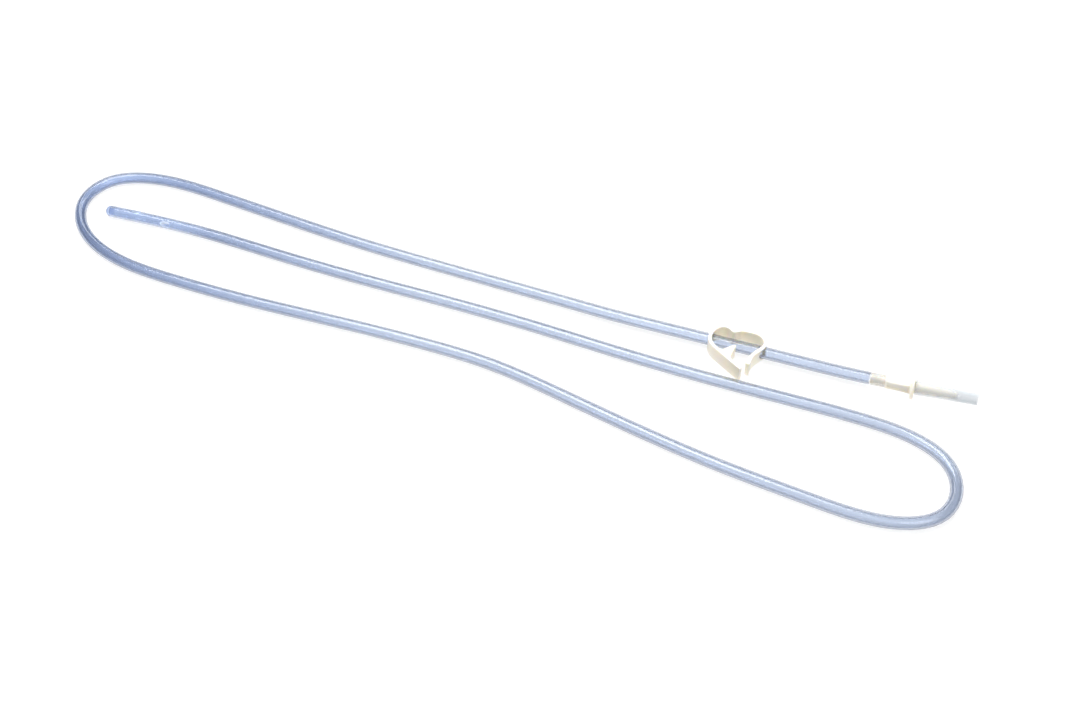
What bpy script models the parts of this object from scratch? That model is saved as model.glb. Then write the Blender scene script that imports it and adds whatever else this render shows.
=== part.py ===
"""Uterine flushing tube: a long clear tube with a closed round tip and two side eyes, a heart-shaped
pinch clamp threaded on it, and a spike connector under a tapered protective cap.

It lies on the floor in two long flat loops, as it comes to rest when it is laid down.
Metres, +Z up, the floor at z = 0. +X runs along the straight stretch of tube, from the clamp to the cap.
"""

from math import atan2, cos, pi, radians, sin, tan

import bmesh
import bpy
import numpy as np
from mathutils import Matrix, Vector

MM = 0.001

# Clearances between pieces
SEAT_GAP = 0.3 * MM
HOLE_CLEARANCE = 0.35 * MM

# Tube
TUBE_OUTER_DIAMETER = 7.0 * MM
TUBE_WALL = 1.0 * MM
TUBE_SIDES = 12
STATION_SPACING = 20.0 * MM
STATION_TURN = radians(10)
TIP_RINGS = 3

# Side eyes, measured from the end of the tip, and turned from straight up towards +Y
EYE_LENGTH = 5.5 * MM
EYE_WIDTH = 3.5 * MM
EYE_CORNER_SEGMENTS = 6
FAR_EYE_FROM_TIP = 20.5 * MM
FAR_EYE_TURN = radians(23)
NEAR_EYE_FROM_TIP = 42.0 * MM
NEAR_EYE_TURN = radians(-67)

# Where the straight stretch of tube runs, and the slope at which the connector rises from it
LINE_Y = 35.8 * MM
STRAIGHT_START_X = 228.0 * MM
CONNECTOR_PITCH = radians(4)

# Route of the tube after the straight stretch: two flat loops, then the free tip (x, y in mm)
ROUTE = [
    (40, 38), (0, 40), (-50, 42), (-100, 45), (-150, 50), (-195, 55), (-230, 57.5), (-253, 54.5),
    (-270, 45), (-276.5, 27), (-269, 7), (-252, -8), (-226, -18), (-190, -22), (-140, -23),
    (-80, -21.5), (-20, -21), (15, -23), (60, -31.5), (110, -42.5), (160, -51.5), (205, -57),
    (238, -59), (258, -55), (272, -45), (277, -27), (270, -9.5), (252, 1.5), (225, 6), (185, 7),
    (135, 7.5), (85, 9.5), (30, 13), (-20, 15), (-80, 16), (-140, 18.5), (-200, 21.5), (-258, 19.5),
]

# Pinch clamp: one strip bent to a heart, standing on its edge
CLAMP_X = 144.0 * MM
STRIP_WIDTH = 9.6 * MM
STRIP_THICKNESS = 2.0 * MM
CLAMP_STEPS = 3
CLAMP_HOLE_SIDES = 20
CLAMP_BACK_TRAVEL = 40.0 * MM
TRAVEL_MARGIN = 8.0 * MM

# Middle line of the strip, seen from above, from the free end of the toothed arm round to the latch
# (mm from the clamp's centre on the tube's axis)
TOOTHED_ARM = [(6.3, -20.6), (-11.2, -9.3)]
LOBES = [
    (-14.4, -6.4), (-16.1, -3.0), (-16.3, 0.8), (-15.2, 4.4), (-12.9, 7.5), (-9.8, 8.8), (-6.7, 8.0),
    (-4.2, 6.4), (-1.9, 7.9), (1.2, 8.9), (4.6, 9.2), (8.2, 9.0), (11.5, 7.8), (13.9, 5.4),
    (14.8, 2.3), (13.8, -1.3),
]
LATCH_ARM = [(11.6, -5.0), (9.8, -9.0), (9.2, -12.6), (9.5, -16.0)]
TOOTH_GAP = 0.4 * MM
TOOTH_TIP_X = -1.1 * MM
TOOTH_TIP_WIDTH = 1.2 * MM
TOOTH_BASE_ALONG = (9.3 * MM, 17.7 * MM)
LATCH_LIP_DEPTH = 0.9 * MM
LATCH_LIP_HEIGHT = 2.4 * MM
LATCH_LIP_UNDERCUT = 0.7 * MM

# Spike connector, along its own axis from the stop ring that the tube butts against
BARB_LENGTH = 8.1 * MM
BARB_COUNT = 3
BARB_CREST_HEIGHT = 0.3 * MM
BARB_WALL = 0.6 * MM
STOP_RING_DIAMETER = 7.6 * MM
STOP_RING_THICKNESS = 1.1 * MM
GRIP_LENGTH = 13.6 * MM
GRIP_SMALL_WIDTH = 5.7 * MM
GRIP_LARGE_WIDTH = 6.6 * MM
GRIP_EDGE_RADIUS = 0.9 * MM
GRIP_PANEL_DEPTH = 0.6 * MM
GRIP_PANEL_FRAME = 1.1 * MM
GRIP_PANEL_RIM = 0.9 * MM
FLANGE_DIAMETER = 14.2 * MM
FLANGE_THICKNESS = 1.3 * MM
FLANGE_FLARE = 1.6 * MM
SPIKE_LENGTH = 23.3 * MM
SPIKE_BASE_DIAMETER = 6.2 * MM
SPIKE_STEP_AT = 14.1 * MM
SPIKE_BODY_TAPER = 0.3 * MM
SPIKE_STEP_DROP = 0.2 * MM
SPIKE_NOSE_TAPER = 0.15 * MM
SPIKE_TIP_CHAMFER = 0.4 * MM
TURNED_SIDES = 24

# Protective cap over the spike
CAP_LENGTH = 34.0 * MM
CAP_TAPER = 0.9 * MM
CAP_WALL = 0.7 * MM
CAP_END_THICKNESS = 0.9 * MM
CAP_EDGE_CHAMFER = 0.3 * MM

# Worked out from the sizes above
TUBE_RADIUS = TUBE_OUTER_DIAMETER / 2
BORE_RADIUS = TUBE_RADIUS - TUBE_WALL
BARB_CREST_RADIUS = BORE_RADIUS - SEAT_GAP
BARB_NECK_RADIUS = BARB_CREST_RADIUS - BARB_CREST_HEIGHT
CHANNEL_RADIUS = BARB_NECK_RADIUS - BARB_WALL
CLAMP_HEIGHT = STRIP_WIDTH / 2
SPIKE_BASE_RADIUS = SPIKE_BASE_DIAMETER / 2
SPIKE_STEP_RADIUS = SPIKE_BASE_RADIUS - SPIKE_BODY_TAPER
SPIKE_NOSE_RADIUS = SPIKE_STEP_RADIUS - SPIKE_STEP_DROP
SPIKE_TIP_RADIUS = SPIKE_NOSE_RADIUS - SPIKE_NOSE_TAPER
CAP_MOUTH_RADIUS = SPIKE_BASE_RADIUS + SEAT_GAP + CAP_WALL
CAP_END_RADIUS = CAP_MOUTH_RADIUS - CAP_TAPER
FLANGE_BACK = STOP_RING_THICKNESS + GRIP_LENGTH
FLANGE_FRONT = FLANGE_BACK + FLANGE_THICKNESS
CONNECTOR_HEIGHT = FLANGE_DIAMETER / 2 * cos(CONNECTOR_PITCH) - FLANGE_BACK * sin(CONNECTOR_PITCH)
TUBE_END_HEIGHT = CONNECTOR_HEIGHT - SEAT_GAP * sin(CONNECTOR_PITCH)
CLAMP_HALF_LENGTH = max(abs(x) for x, _ in LOBES) * MM + STRIP_THICKNESS / 2
STRAIGHT_END_X = CLAMP_X - CLAMP_HALF_LENGTH - CLAMP_BACK_TRAVEL - TRAVEL_MARGIN


# Scene, materials and small helpers


def clear_scene():
    """Remove what an opened file holds, so the model is built from nothing."""
    for obj in list(bpy.data.objects):
        bpy.data.objects.remove(obj, do_unlink=True)


def material(name, colour, roughness, transmission=0.0):
    """A plastic finish; the clear ones let light through."""
    finish = bpy.data.materials.new(name)
    finish.use_nodes = True
    shader = finish.node_tree.nodes["Principled BSDF"]
    shader.inputs["Base Color"].default_value = (*colour, 1.0)
    shader.inputs["Roughness"].default_value = roughness
    shader.inputs["Metallic"].default_value = 0.0
    shader.inputs["Transmission Weight"].default_value = transmission
    finish.diffuse_color = (*colour, 1.0)
    return finish


def link_mesh(name, bm, finish=None):
    """Turn a finished bmesh into an object of the scene."""
    bmesh.ops.recalc_face_normals(bm, faces=bm.faces)
    mesh = bpy.data.meshes.new(name)
    bm.to_mesh(mesh)
    bm.free()
    mesh.shade_smooth()
    mesh.set_sharp_from_angle(angle=radians(35))
    obj = bpy.data.objects.new(name, mesh)
    bpy.context.collection.objects.link(obj)
    if finish:
        mesh.materials.append(finish)
    return obj


def tool(name, bm):
    """A solid that only joins or cuts another one."""
    obj = link_mesh(name, bm)
    obj.hide_render = True
    obj.display_type = "WIRE"
    return obj


def combine(obj, other, operation):
    """Join another solid to an object, or cut it away."""
    step = obj.modifiers.new(operation.title() + " " + other.name, "BOOLEAN")
    step.operation = operation
    step.solver = "EXACT"
    step.object = other


def loft(bm, rings):
    """Skin a row of rings; a ring of one point closes the skin there."""
    loops = [[bm.verts.new(point) for point in ring] for ring in rings]
    for first, second in zip(loops, loops[1:]):
        count = max(len(first), len(second))
        for k in range(count):
            corners = []
            for loop, step in ((first, k), (first, k + 1), (second, k + 1), (second, k)):
                corner = loop[step % len(loop)]
                if corner not in corners:
                    corners.append(corner)
            bm.faces.new(corners)


def turned(profile, sides):
    """A solid of revolution about X, from (x, radius) pairs that start and end on the axis."""
    bm = bmesh.new()
    rings = []
    for x, radius in profile:
        if radius == 0:
            rings.append([Vector((x, 0, 0))])
            continue
        angles = [2 * pi * k / sides for k in range(sides)]
        rings.append([Vector((x, radius * sin(a), -radius * cos(a))) for a in angles])
    loft(bm, rings)
    return bm


def prism(outline, bottom, top):
    """A flat outline of (x, y) points carried up from one height to another."""
    bm = bmesh.new()
    face = bm.faces.new([bm.verts.new((x, y, bottom)) for x, y in outline])
    raised = bmesh.ops.extrude_face_region(bm, geom=[face])["geom"]
    moved = [v for v in raised if isinstance(v, bmesh.types.BMVert)]
    bmesh.ops.translate(bm, verts=moved, vec=(0, 0, top - bottom))
    return bm


def smooth_curve(points, steps, start_tangent=None):
    """A cubic spline of even curvature through the points, read at several steps a span."""
    p = np.array(points, float)
    h = np.linalg.norm(np.diff(p, axis=0), axis=1)
    n = len(p)
    a = np.zeros((n, n))
    b = np.zeros((n, p.shape[1]))
    slope = np.diff(p, axis=0) / h[:, None]
    for i in range(1, n - 1):
        a[i, i - 1 : i + 2] = (h[i], 2 * (h[i - 1] + h[i]), h[i - 1])
        b[i] = 3 * (h[i] * slope[i - 1] + h[i - 1] * slope[i])
    a[0, :2], b[0] = (2, 1), 3 * slope[0]
    a[-1, -2:], b[-1] = (1, 2), 3 * slope[-1]
    if start_tangent is not None:
        a[0, :2], b[0] = (1, 0), start_tangent
    m = np.linalg.solve(a, b)
    out = []
    for i in range(n - 1):
        for t in np.arange(steps) / steps:
            out.append(
                (2 * t**3 - 3 * t**2 + 1) * p[i]
                + (t**3 - 2 * t**2 + t) * h[i] * m[i]
                + (3 * t**2 - 2 * t**3) * p[i + 1]
                + (t**3 - t**2) * h[i] * m[i + 1]
            )
    out.append(p[-1])
    return np.array(out)


# Flushing tube


def height_along(x):
    """Height of the tube's axis over the floor on the stretch between connector and first loop."""
    rise = 2 * (TUBE_END_HEIGHT - CLAMP_HEIGHT) / tan(CONNECTOR_PITCH)
    level_from = STRAIGHT_START_X - rise
    if x > level_from:
        return CLAMP_HEIGHT + tan(CONNECTOR_PITCH) / (2 * rise) * (x - level_from) ** 2
    fall = max(0.0, min(1.0, (STRAIGHT_END_X - x) / (60 * MM)))
    return CLAMP_HEIGHT + (TUBE_RADIUS - CLAMP_HEIGHT) * fall**2 * (3 - 2 * fall)


def tube_axis():
    """Stations along the tube's axis, closer together where it bends."""
    tube_end_x = STRAIGHT_START_X - SEAT_GAP * cos(CONNECTOR_PITCH)
    straight = np.linspace((tube_end_x, LINE_Y), (STRAIGHT_END_X, LINE_Y), 100)
    loops = [(STRAIGHT_END_X, LINE_Y)] + [(x * MM, y * MM) for x, y in ROUTE]
    flat = np.vstack([straight[:-1], smooth_curve(loops, 60, start_tangent=(-1, 0))])
    points = [Vector((x, y, TUBE_RADIUS)) for x, y in flat]
    for point in points:
        if point.y > LINE_Y - TUBE_OUTER_DIAMETER:
            point.z = height_along(point.x)
    stations = [points[0]]
    travelled, turned_by = 0.0, 0.0
    for before, here, after in zip(points, points[1:], points[2:]):
        travelled += (here - before).length
        turned_by += (here - before).angle(after - here)
        if travelled > STATION_SPACING or turned_by > STATION_TURN:
            stations.append(here)
            travelled, turned_by = 0.0, 0.0
    stations.append(points[-1])
    return stations


def cross_frames(stations):
    """Place, direction, sideways and upward directions of the tube at each station."""
    frames = []
    for i, place in enumerate(stations):
        before = stations[max(i - 1, 0)]
        after = stations[min(i + 1, len(stations) - 1)]
        along = (after - before).normalized()
        side = along.cross(Vector((0, 0, 1))).normalized()
        frames.append((place, along, side, side.cross(along)))
    return frames


def circle(place, side, up, radius):
    angles = [2 * pi * (k + 0.5) / TUBE_SIDES for k in range(TUBE_SIDES)]
    return [place + radius * (cos(a) * side + sin(a) * up) for a in angles]


def flushing_tube(finish):
    """The hollow tube: bore from the connector up to the solid round tip, skin outside it."""
    stations = tube_axis()
    tip_end = stations.pop()
    frames = cross_frames(stations + [tip_end])
    _, along, side, up = frames.pop()
    tip_centre = tip_end - TUBE_RADIUS * along
    while (frames[-1][0] - tip_end).length < 2 * TUBE_OUTER_DIAMETER:
        frames.pop()
    frames.append((tip_centre, along, side, up))
    away = Vector((-cos(CONNECTOR_PITCH), 0, -sin(CONNECTOR_PITCH)))
    sideways = Vector((0, 1, 0))
    frames[0] = (frames[0][0], away, sideways, sideways.cross(away))
    bore = [circle(place, s, u, BORE_RADIUS) for place, _, s, u in frames]
    skin = [circle(place, s, u, TUBE_RADIUS) for place, _, s, u in frames]
    for k in range(1, TIP_RINGS):
        angle = pi / 2 * k / TIP_RINGS
        place = tip_centre + TUBE_RADIUS * sin(angle) * along
        skin.append(circle(place, side, up, TUBE_RADIUS * cos(angle)))
    bm = bmesh.new()
    loft(bm, [[tip_centre]] + bore[::-1] + skin + [[tip_end]])
    tube = link_mesh("flushing_tube", bm, finish)
    for name, distance, turn in (
        ("far_eye", FAR_EYE_FROM_TIP, FAR_EYE_TURN),
        ("near_eye", NEAR_EYE_FROM_TIP, NEAR_EYE_TURN),
    ):
        cutter = eye_cutter(name, tip_end - distance * along, along, turn)
        combine(tube, cutter, "DIFFERENCE")


def eye_cutter(name, place, along, turn):
    """A round-ended slot that goes through one wall of the tube."""
    radius = EYE_WIDTH / 2
    half = EYE_LENGTH / 2 - radius
    outline = []
    for end in (1, -1):
        for k in range(EYE_CORNER_SEGMENTS + 1):
            angle = pi / 2 - pi * k / EYE_CORNER_SEGMENTS
            outline.append((end * (half + radius * cos(angle)), end * radius * sin(angle)))
    cutter = tool(name, prism(outline, 0, TUBE_OUTER_DIAMETER))
    away = Vector((-along.y, along.x, 0)).normalized()
    if away.y < 0:
        away = -away
    outward = cos(turn) * Vector((0, 0, 1)) + sin(turn) * away
    axes = Matrix((along, outward.cross(along), outward)).transposed()
    cutter.matrix_world = Matrix.Translation(place) @ axes.to_4x4()
    return cutter


# Pinch clamp


def offset_outline(line, thickness):
    """Both sides of a strip that follows a line, as one closed outline."""
    tangent = np.gradient(line, axis=0)
    tangent /= np.linalg.norm(tangent, axis=1)[:, None]
    normal = np.column_stack([-tangent[:, 1], tangent[:, 0]]) * thickness / 2
    return [tuple(p) for p in np.vstack([line + normal, (line - normal)[::-1]])]


def pinch_clamp(finish):
    """The heart strip, its tooth and latch lip, and the two holes that the tube is threaded through."""
    middle = [(x * MM, y * MM) for x, y in TOOTHED_ARM + LOBES + LATCH_ARM]
    arm_end, arm_root = (np.array(p) for p in middle[:2])
    arm_way = (arm_root - arm_end) / np.linalg.norm(arm_root - arm_end)
    bends = smooth_curve(middle[1:], CLAMP_STEPS, start_tangent=arm_way)
    strip = prism(offset_outline(np.vstack([[arm_end], bends]), STRIP_THICKNESS), 0, STRIP_WIDTH)
    clamp = link_mesh("pinch_clamp", strip, finish)

    tip_y = -(TUBE_RADIUS + TOOTH_GAP)
    tooth_outline = [tuple(arm_end + arm_way * distance) for distance in TOOTH_BASE_ALONG]
    tooth_outline.append((TOOTH_TIP_X - TOOTH_TIP_WIDTH / 2, tip_y))
    tooth_outline.append((TOOTH_TIP_X + TOOTH_TIP_WIDTH / 2, tip_y))
    tooth = tool("clamp_tooth", prism(tooth_outline, 0, STRIP_WIDTH))

    latch_x, latch_y = middle[-1]
    inner = latch_x - STRIP_THICKNESS / 2
    lip_outline = [
        (latch_x, latch_y),
        (latch_x, latch_y + LATCH_LIP_HEIGHT),
        (inner, latch_y + LATCH_LIP_HEIGHT),
        (inner - LATCH_LIP_DEPTH, latch_y + LATCH_LIP_UNDERCUT),
        (inner, latch_y),
    ]
    lip = tool("clamp_latch_lip", prism(lip_outline, 0, STRIP_WIDTH))

    hole_radius = TUBE_RADIUS + HOLE_CLEARANCE
    reach = max(abs(x) for x, _ in middle) + STRIP_THICKNESS * 2
    hole = turned([(-reach, 0), (-reach, hole_radius), (reach, hole_radius), (reach, 0)], CLAMP_HOLE_SIDES)
    tunnel = tool("clamp_tube_holes", hole)
    tunnel.location = (0, 0, CLAMP_HEIGHT)

    for guide, operation in ((tooth, "UNION"), (lip, "UNION"), (tunnel, "DIFFERENCE")):
        guide.parent = clamp
        combine(clamp, guide, operation)
    clamp.location = (CLAMP_X, LINE_Y, 0)


# Spike connector


def barb_profile():
    """Saw-tooth rings that the tube is pushed over, from the barb's end to the stop ring."""
    pitch = BARB_LENGTH / BARB_COUNT
    neck, crest = BARB_NECK_RADIUS, BARB_CREST_RADIUS
    profile = []
    for k in range(BARB_COUNT):
        start = -BARB_LENGTH + k * pitch
        profile += [(start, neck), (start + 0.75 * pitch, crest), (start + 0.8 * pitch, neck)]
    return profile


def connector_profile():
    """Radius along the connector's axis, from the barb to the blunt end of the spike."""
    ring, flange = STOP_RING_DIAMETER / 2, FLANGE_DIAMETER / 2
    neck = GRIP_SMALL_WIDTH / 2 - GRIP_EDGE_RADIUS
    return (
        [(-BARB_LENGTH, 0)]
        + barb_profile()
        + [
            (0, BARB_NECK_RADIUS),
            (0, ring),
            (STOP_RING_THICKNESS, ring),
            (STOP_RING_THICKNESS, neck),
            (FLANGE_BACK - FLANGE_FLARE, neck),
            (FLANGE_BACK - FLANGE_FLARE, GRIP_LARGE_WIDTH / 2),
            (FLANGE_BACK, flange),
            (FLANGE_FRONT, flange),
            (FLANGE_FRONT, SPIKE_BASE_RADIUS),
            (FLANGE_FRONT + SPIKE_STEP_AT, SPIKE_STEP_RADIUS),
            (FLANGE_FRONT + SPIKE_STEP_AT, SPIKE_NOSE_RADIUS),
            (FLANGE_FRONT + SPIKE_LENGTH - SPIKE_TIP_CHAMFER, SPIKE_TIP_RADIUS),
            (FLANGE_FRONT + SPIKE_LENGTH, SPIKE_TIP_RADIUS - SPIKE_TIP_CHAMFER),
            (FLANGE_FRONT + SPIKE_LENGTH, 0),
        ]
    )


def grip_section(x, width):
    """A square section with rounded corners, across the connector's axis."""
    ring = []
    middle = width / 2 - GRIP_EDGE_RADIUS
    for quarter in range(4):
        turn = pi / 2 * quarter
        for k in range(4):
            angle = turn + pi / 6 * k
            corner = turn + pi / 4
            y = middle * (1 if cos(corner) > 0 else -1) + GRIP_EDGE_RADIUS * cos(angle)
            z = middle * (1 if sin(corner) > 0 else -1) + GRIP_EDGE_RADIUS * sin(angle)
            ring.append(Vector((x, y, z)))
    return ring


def grip_body():
    """The tapered finger grip between the stop ring and the flange."""
    start, end = STOP_RING_THICKNESS / 2, FLANGE_BACK + FLANGE_THICKNESS / 2
    bm = bmesh.new()
    loft(
        bm,
        [
            [Vector((start, 0, 0))],
            grip_section(start, GRIP_SMALL_WIDTH),
            grip_section(end, GRIP_LARGE_WIDTH),
            [Vector((end, 0, 0))],
        ],
    )
    return tool("grip_body", bm)


def grip_panel(side):
    """The shallow flat recess in one side of the grip, inside a frame."""
    near_x = STOP_RING_THICKNESS + GRIP_PANEL_FRAME
    far_x = FLANGE_BACK - FLANGE_FLARE - GRIP_PANEL_FRAME / 2
    low = GRIP_SMALL_WIDTH / 2 - GRIP_PANEL_RIM
    high = GRIP_LARGE_WIDTH / 2 - GRIP_PANEL_RIM
    outline = [(near_x, -low), (far_x, -high), (far_x, high), (near_x, low)]
    panel = tool("grip_panel_" + ("far" if side > 0 else "near"), prism(outline, 0, GRIP_LARGE_WIDTH))
    lean = atan2((GRIP_LARGE_WIDTH - GRIP_SMALL_WIDTH) / 2, GRIP_LENGTH)
    panel.matrix_world = (
        Matrix.Translation((0, side * (GRIP_SMALL_WIDTH / 2 - GRIP_PANEL_DEPTH), 0))
        @ Matrix.Rotation(side * lean, 4, "Z")
        @ Matrix.Rotation(-side * pi / 2, 4, "X")
    )
    return panel


def spike_connector(finish, holder):
    """Barb, stop ring, grip, flange and spike, one moulding with a channel right through."""
    body = link_mesh("spike_connector", turned(connector_profile(), TURNED_SIDES), finish)
    start, end = -BARB_LENGTH - MM, FLANGE_FRONT + SPIKE_LENGTH + MM
    bore_profile = [(start, 0), (start, CHANNEL_RADIUS), (end, CHANNEL_RADIUS), (end, 0)]
    bore = turned(bore_profile, TURNED_SIDES // 2)
    body.parent = holder
    for guide, operation in (
        (grip_body(), "UNION"),
        (grip_panel(1), "DIFFERENCE"),
        (grip_panel(-1), "DIFFERENCE"),
        (tool("connector_channel", bore), "DIFFERENCE"),
    ):
        guide.parent = holder
        combine(body, guide, operation)


# Spike cap


def spike_cap(finish, holder):
    """The tapered sheath over the spike, open at the flange and closed at its far end."""
    floor = CAP_LENGTH - CAP_END_THICKNESS
    floor_radius = CAP_MOUTH_RADIUS - CAP_TAPER * floor / CAP_LENGTH - CAP_WALL
    profile = [
        (floor, 0),
        (floor, floor_radius),
        (0, CAP_MOUTH_RADIUS - CAP_WALL),
        (0, CAP_MOUTH_RADIUS),
        (CAP_LENGTH - CAP_EDGE_CHAMFER, CAP_END_RADIUS),
        (CAP_LENGTH, CAP_END_RADIUS - CAP_EDGE_CHAMFER),
        (CAP_LENGTH, 0),
    ]
    cap = link_mesh("spike_cap", turned(profile, TURNED_SIDES), finish)
    cap.parent = holder
    cap.location = (FLANGE_FRONT + SEAT_GAP, 0, 0)


def main():
    clear_scene()
    clear_tube = material("clear_blue_tube", (0.66, 0.76, 0.93), 0.08, transmission=0.85)
    ivory = material("ivory_plastic", (0.86, 0.79, 0.62), 0.38)
    frosted = material("frosted_cap", (0.86, 0.90, 0.95), 0.32, transmission=0.7)
    connector_axis = bpy.data.objects.new("connector_axis", None)
    bpy.context.collection.objects.link(connector_axis)
    connector_axis.location = (STRAIGHT_START_X, LINE_Y, CONNECTOR_HEIGHT)
    connector_axis.rotation_euler = (0, -CONNECTOR_PITCH, 0)
    flushing_tube(clear_tube)
    pinch_clamp(ivory)
    spike_connector(ivory, connector_axis)
    spike_cap(frosted, connector_axis)


main()
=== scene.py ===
"""Uterine flushing tube: a soft clear tube, its heart-shaped pinch clamp, its spike connector and cap."""

from math import cos, pi, radians, sin, tan

import bmesh
import bpy
import numpy as np
from bpy.props import FloatProperty, FloatVectorProperty, IntProperty, PointerProperty
from mathutils import Matrix, Vector


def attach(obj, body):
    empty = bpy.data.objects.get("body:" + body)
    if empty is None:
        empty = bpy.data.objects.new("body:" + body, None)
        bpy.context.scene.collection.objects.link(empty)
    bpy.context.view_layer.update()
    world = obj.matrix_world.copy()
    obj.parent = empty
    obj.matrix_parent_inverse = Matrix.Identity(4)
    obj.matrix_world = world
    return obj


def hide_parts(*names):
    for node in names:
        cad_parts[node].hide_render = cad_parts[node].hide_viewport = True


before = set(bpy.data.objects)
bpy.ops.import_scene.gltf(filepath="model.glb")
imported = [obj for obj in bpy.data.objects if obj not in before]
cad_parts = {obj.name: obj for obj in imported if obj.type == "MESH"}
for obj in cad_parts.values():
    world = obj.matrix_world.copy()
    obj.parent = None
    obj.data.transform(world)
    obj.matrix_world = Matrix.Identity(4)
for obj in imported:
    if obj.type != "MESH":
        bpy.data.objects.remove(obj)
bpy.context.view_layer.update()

bl_info = {
    "name": "Uterine flushing tube",
    "version": (1, 0, 0),
    "blender": (4, 5, 0),
    "location": "3D View > Sidebar > Flushing Tube",
    "description": "Models the flushing tube, its clamp, its connector and its cap",
    "category": "Add Mesh",
}

MM = 0.001

# Where the pieces lie, in metres, the same as the solids
LINE_Y = 0.0358
STRAIGHT_START_X = 0.228
STRAIGHT_END_X = 0.0787
PITCH = radians(4)
LEVELLING_LENGTH = 60 * MM
CLAMP_X = 0.144
SEAT_GAP = 0.3 * MM

# The barb's radii, a little more than the solid's, so that the clear wall shows it at its full width
BARB_CRESTS = 3
BARB_CREST = 2.55 * MM
BARB_NECK = 2.3 * MM
BARB_BITE = 0.1 * MM

# The two side eyes: distance from the tip's end, and turn from the top towards the photograph's far side
EYES = ((20.5 * MM, radians(23)), (42.0 * MM, radians(-67)))
EYE_STEPS = ((-0.5 * MM, 1.0), (-0.2 * MM, 1.05), (0.4 * MM, 1.2))
BORE_END_FLATNESS = 0.4

# Where the tube's looks change: along its course, or along X for the half painted lighter (painted light
# standing in for the lamps' light on it), in metres
GRIPPED_UP_TO = (7.8 * MM, 8.8 * MM)
PAINTED_LIGHT_FROM = (-0.24, -0.04)
TIP_FROM = (1.60, 1.62)
SOLID_FROM = (1.6655, 1.6668)
EYE_WALLS_BETWEEN = (1.61, 1.66)
EYE_WALL_MARGIN = 0.06 * MM
EYE_WALL_MARK = 0.5

# The clamp's tooth and latch lip
TOOTH_BASE = (9.3 * MM, 17.7 * MM)
TOOTH_TIP = (-0.5 * MM, -1.7 * MM)
TOOTH_GAP = 0.4 * MM
TOOTH_ROUNDING = 0.3 * MM
LIP_HEIGHT = 2.4 * MM
LIP_DEPTH = 0.9 * MM
LIP_UNDERCUT = 0.7 * MM
LIP_ROUNDING = 0.15 * MM

# The connector, from its stop ring on, and the cap
GRIP_START = 1.1 * MM
GRIP_WIDTHS = (5.7 * MM, 6.6 * MM)
GRIP_OVERLAP = 0.6 * MM
GRIP_ROUNDING = 0.9 * MM
GRIP_FRAME = 0.1 * MM
GRIP_RECESS = 0.6 * MM
GRIP_RECESS_SLOPE = 0.12 * MM
FLANGE_THICKNESS = 1.3 * MM
FLANGE_FLARE = ((1.6 * MM, 3.3 * MM), (0.8 * MM, 4.3 * MM))
SPIKE_STEP_AT = 14.1 * MM
SPIKE_RADII = (3.1 * MM, 2.8 * MM, 2.6 * MM, 2.45 * MM, 2.05 * MM)
SPIKE_CHAMFER = 0.4 * MM
CAP_MOUTH_RADIUS = 4.1 * MM
CAP_TAPER = 0.9 * MM
CAP_END_THICKNESS = 0.9 * MM
CAP_CHAMFER = 0.3 * MM
CAP_END_MIST_X = (0.262, 0.270)
ROUND_SIDES = 64

# The camera, at the photograph's angle
CAMERA_PLACE = (0.22623, -0.53435, 0.59994)
CAMERA_WAY = (-0.2277, 0.6429, -0.7314)
CAMERA_LENS = 48.0
CAMERA_SENSOR = 36.0
CAMERA_CLIP = (0.01, 30.0)

# Route of the tube after the straight stretch: two flat loops, then the free tip (x, y in mm)
ROUTE = [
    (40, 38), (0, 40), (-50, 42), (-100, 45), (-150, 50), (-195, 55), (-230, 57.5), (-253, 54.5),
    (-270, 45), (-276.5, 27), (-269, 7), (-252, -8), (-226, -18), (-190, -22), (-140, -23),
    (-80, -21.5), (-20, -21), (15, -23), (60, -31.5), (110, -42.5), (160, -51.5), (205, -57),
    (238, -59), (258, -55), (272, -45), (277, -27), (270, -9.5), (252, 1.5), (225, 6), (185, 7),
    (135, 7.5), (85, 9.5), (30, 13), (-20, 15), (-80, 16), (-140, 18.5), (-200, 21.5), (-258, 19.5),
]

# Middle line of the clamp's strip, seen from above (mm from the clamp's centre on the tube's axis)
TOOTHED_ARM = [(6.3, -20.6), (-11.2, -9.3)]
LOBES = [
    (-14.4, -6.4), (-16.1, -3.0), (-16.3, 0.8), (-15.2, 4.4), (-12.9, 7.5), (-9.8, 8.8), (-6.8, 8.05),
    (-5.4, 7.1), (-4.25, 6.4), (-3.1, 7.05), (-1.8, 7.95), (1.2, 8.9), (4.6, 9.2), (8.2, 9.0),
    (11.5, 7.8), (13.9, 5.4), (14.8, 2.3), (13.8, -1.3),
]
LATCH_ARM = [(11.6, -5.0), (9.8, -9.0), (9.2, -12.6), (9.5, -16.0)]


# Sizes and colours that a user may change


def length(name, text, value):
    return FloatProperty(
        name=name, description=text, default=value, min=0.0, unit="LENGTH", precision=4
    )


def power(name, text, value):
    return FloatProperty(name=name, description=text, default=value, min=0.0, unit="POWER")


def colour(name, text, value):
    return FloatVectorProperty(
        name=name, description=text, default=value, size=3, min=0.0, max=1.0, subtype="COLOR"
    )


def share(name, text, value):
    return FloatProperty(
        name=name, description=text, default=value, min=0.0, max=1.0, subtype="FACTOR"
    )


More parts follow.
